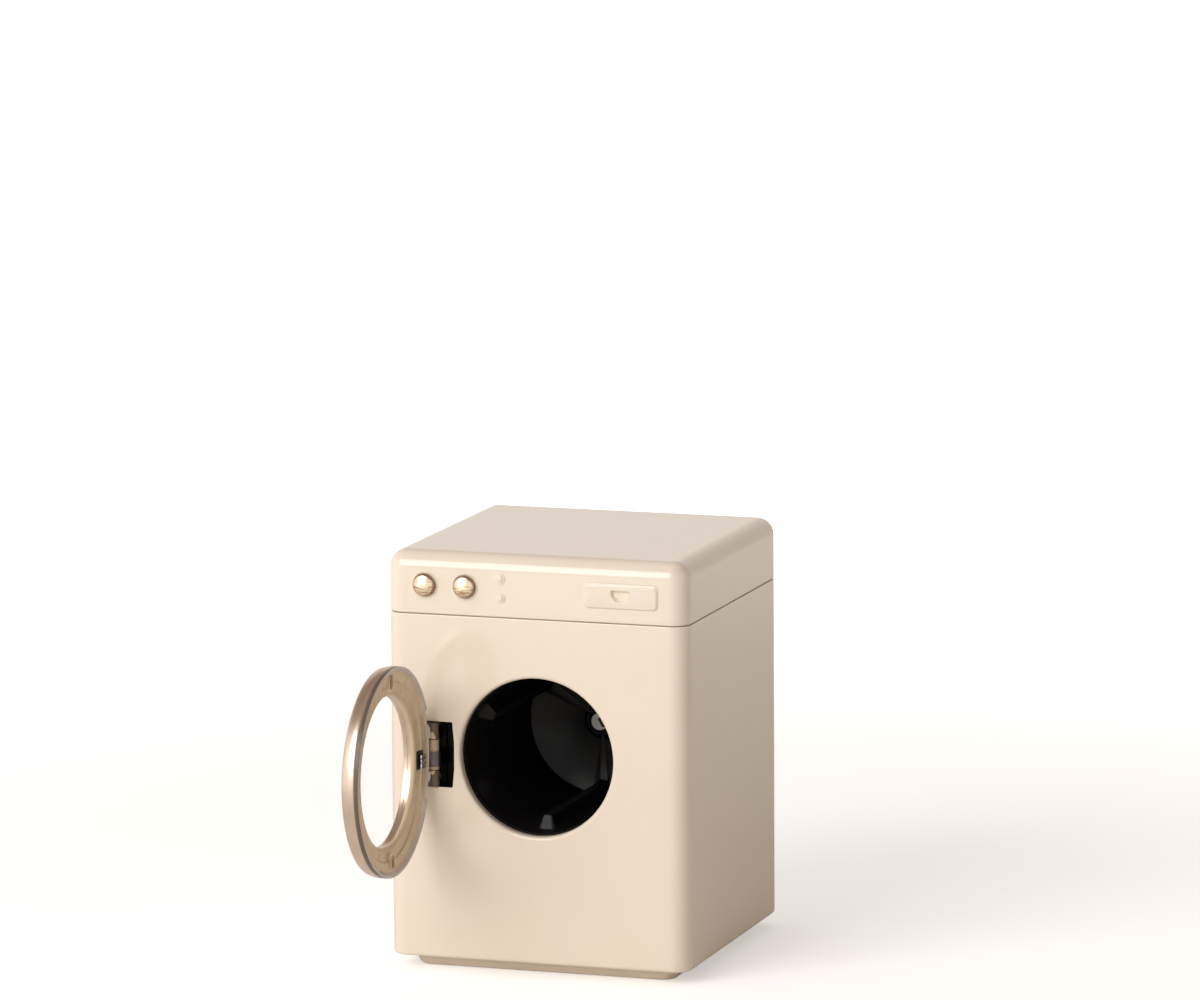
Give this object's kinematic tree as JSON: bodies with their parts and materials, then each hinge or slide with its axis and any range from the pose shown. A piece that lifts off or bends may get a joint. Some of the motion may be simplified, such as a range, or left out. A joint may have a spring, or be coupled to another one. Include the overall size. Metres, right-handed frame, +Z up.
{
  "type": "toy washing machine",
  "caption": "Small sheet-metal toy washing machine with a lift-off lid, turning control knobs, a hinged round door with a clear pane and a turning drum.",
  "frame": {"origin": "on the ground, in the middle of the foot pan's flat underside", "axes": "+Z up, +X to the right across the front, +Y from the front to the back; the door stands open"},
  "size_m": [0.093, 0.1548, 0.1258],
  "materials": {
    "enamel": "gloss cream enamel",
    "foot_enamel": "satin cream enamel",
    "brass": "polished",
    "gold_plastic": "satin gold metallised",
    "smoke_plastic": "smoky translucent",
    "pane": "clear plastic pane",
    "black_plastic": "gloss black",
    "steel": "dull"
  },
  "bodies": {
    "machine": {"case_wrap": "enamel", "neck_collar": "enamel", "base_pan": "foot_enamel", "tub_housing": "black_plastic", "hinge_bracket": "smoke_plastic", "bracket_screw_lower": "steel", "bracket_screw_upper": "steel", "hinge_pin": "steel", "hinge_spring": "steel", "axle_screw": "steel", "axle_washer": "steel", "axle_nut": "steel"},
    "lid": {"lid": "enamel"},
    "knob_left": {"knob_left": "brass", "knob_clip_left": "steel"},
    "knob_right": {"knob_right": "brass", "knob_clip_right": "steel"},
    "door": {"door_band": "gold_plastic", "door_bezel": "smoke_plastic", "door_window": "pane", "door_spring_plate": "steel"},
    "drum": {"drum": "black_plastic"}
  },
  "joints": [
    {"name": "door_hinge", "type": "hinge", "parent": "machine", "child": "door", "pos_m": [-0.0318, -0.0458, 0.0653], "axis": [0, 0, 1], "range_deg": [-6, 90.3]},
    {"name": "lid_lift", "type": "slide", "parent": "machine", "child": "lid", "axis": [0, 0, 1], "range_m": [0, 0.03]},
    {"name": "knob_left_turn", "type": "hinge", "parent": "lid", "child": "knob_left", "pos_m": [-0.0342, -0.0459, 0.116], "axis": [0, 1, 0], "continuous": true},
    {"name": "knob_right_turn", "type": "hinge", "parent": "lid", "child": "knob_right", "pos_m": [-0.0217, -0.0459, 0.116], "axis": [0, 1, 0], "continuous": true},
    {"name": "drum_turn", "type": "hinge", "parent": "machine", "child": "drum", "pos_m": [0, -0.0459, 0.0658], "axis": [0, 1, 0], "continuous": true}
  ]
}
